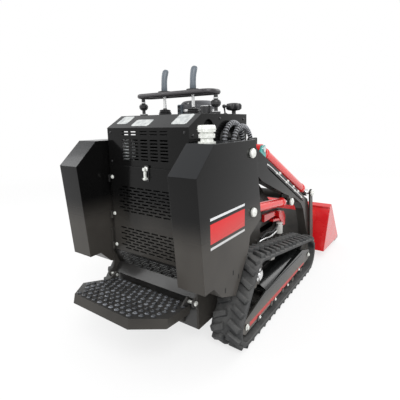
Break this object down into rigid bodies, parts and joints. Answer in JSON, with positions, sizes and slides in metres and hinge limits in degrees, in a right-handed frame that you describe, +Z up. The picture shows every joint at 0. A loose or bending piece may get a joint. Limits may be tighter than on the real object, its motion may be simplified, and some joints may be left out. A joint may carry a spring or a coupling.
{
  "type": "mini skid steer loader",
  "caption": "Stand-on mini skid steer loader on rubber tracks, with hydraulic loader arms, a tilting bucket, side tanks, a slotted rear door and a stand-on platform.",
  "frame": {"origin": "on the ground, on the centre plane, half way along the machine", "axes": "+X forward to the bucket, +Y to the machine's left, +Z up"},
  "size_m": [2.3603, 1.072, 1.4756],
  "materials": {
    "black_paint": "gloss",
    "red_paint": "gloss",
    "rubber": "matt",
    "black_steel": "satin",
    "bright_steel": "satin",
    "grey_plastic": "satin",
    "black_plastic": "satin",
    "yellow_paint": "gloss",
    "teal_paint": "gloss"
  },
  "bodies": {
    "chassis": {"chassis_floor": "black_paint", "chassis_sides": "black_paint", "front_plate": "black_paint", "rear_plate": "black_paint", "engine": "black_steel", "hood": "black_paint", "front_cover": "black_paint", "side_tank_left": "black_paint", "side_tank_right": "black_paint", "filler_cap": "bright_steel", "towers": "black_paint", "tower_pins": "bright_steel", "track_frames": "black_paint", "track_left": "rubber", "track_right": "rubber", "sprockets": "black_steel", "idlers": "black_steel", "rollers": "black_steel", "platform": "black_paint", "platform_brackets": "black_paint", "door_hinges": "black_paint", "hand_bar": "rubber", "bar_posts": "bright_steel", "lever_boots": "rubber", "levers": "bright_steel", "lever_grips": "grey_plastic", "air_cleaner": "grey_plastic", "gauge": "black_plastic", "knob": "black_plastic", "arm_stops": "red_paint"},
    "door": {"rear_door": "black_paint", "door_latch": "bright_steel"},
    "arms": {"arms": "black_paint", "arm_cross_pipe": "black_paint", "tilt_brackets": "teal_paint", "tilt_pins": "bright_steel"},
    "lift_barrels": {"lift_barrels": "red_paint"},
    "lift_rods": {"lift_rods": "bright_steel"},
    "bucket": {"bucket": "red_paint", "attach_frame": "black_paint", "bucket_links": "black_paint", "lock_levers": "yellow_paint"},
    "tilt_barrels": {"tilt_barrels": "red_paint"},
    "tilt_rods": {"tilt_rods": "bright_steel"}
  },
  "joints": [
    {"name": "arm_lift", "type": "hinge", "parent": "chassis", "child": "arms", "pos_m": [-0.549, 0, 1.008], "axis": [0, -1, 0], "range_deg": [0, 80]},
    {"name": "lift_barrel_turn", "type": "hinge", "parent": "chassis", "child": "lift_barrels", "pos_m": [-0.535, 0, 0.696], "axis": [0, -1, 0], "range_deg": [0, 68.2]},
    {"name": "lift_rod_slide", "type": "slide", "parent": "lift_barrels", "child": "lift_rods", "axis": [0.992, 0, -0.126], "range_m": [0, 0.368]},
    {"name": "bucket_tilt", "type": "hinge", "parent": "arms", "child": "bucket", "pos_m": [0.545, 0, 0.19], "axis": [0, 1, 0], "range_deg": [-10, 60]},
    {"name": "tilt_barrel_turn", "type": "hinge", "parent": "arms", "child": "tilt_barrels", "pos_m": [-0.35, 0, 1.012], "axis": [0, -1, 0], "range_deg": [-0.31, 1.81]},
    {"name": "tilt_rod_slide", "type": "slide", "parent": "tilt_barrels", "child": "tilt_rods", "axis": [0.8997, 0, -0.4365], "range_m": [-0.065, 0.3897]},
    {"name": "door_swing", "type": "hinge", "parent": "chassis", "child": "door", "pos_m": [-0.839, 0.284, 0.69], "axis": [0, 0, -1], "range_deg": [0, 90]}
  ],
  "couplings": [
    {"joint": "lift_barrel_turn", "follows": "arm_lift", "ratio": 0.85242},
    {"joint": "lift_rod_slide", "follows": "arm_lift", "m_per_rad": 0.2635},
    {"joint": "tilt_barrel_turn", "follows": "bucket_tilt", "ratio": 0.03},
    {"joint": "tilt_rod_slide", "follows": "bucket_tilt", "m_per_rad": 0.372}
  ]
}
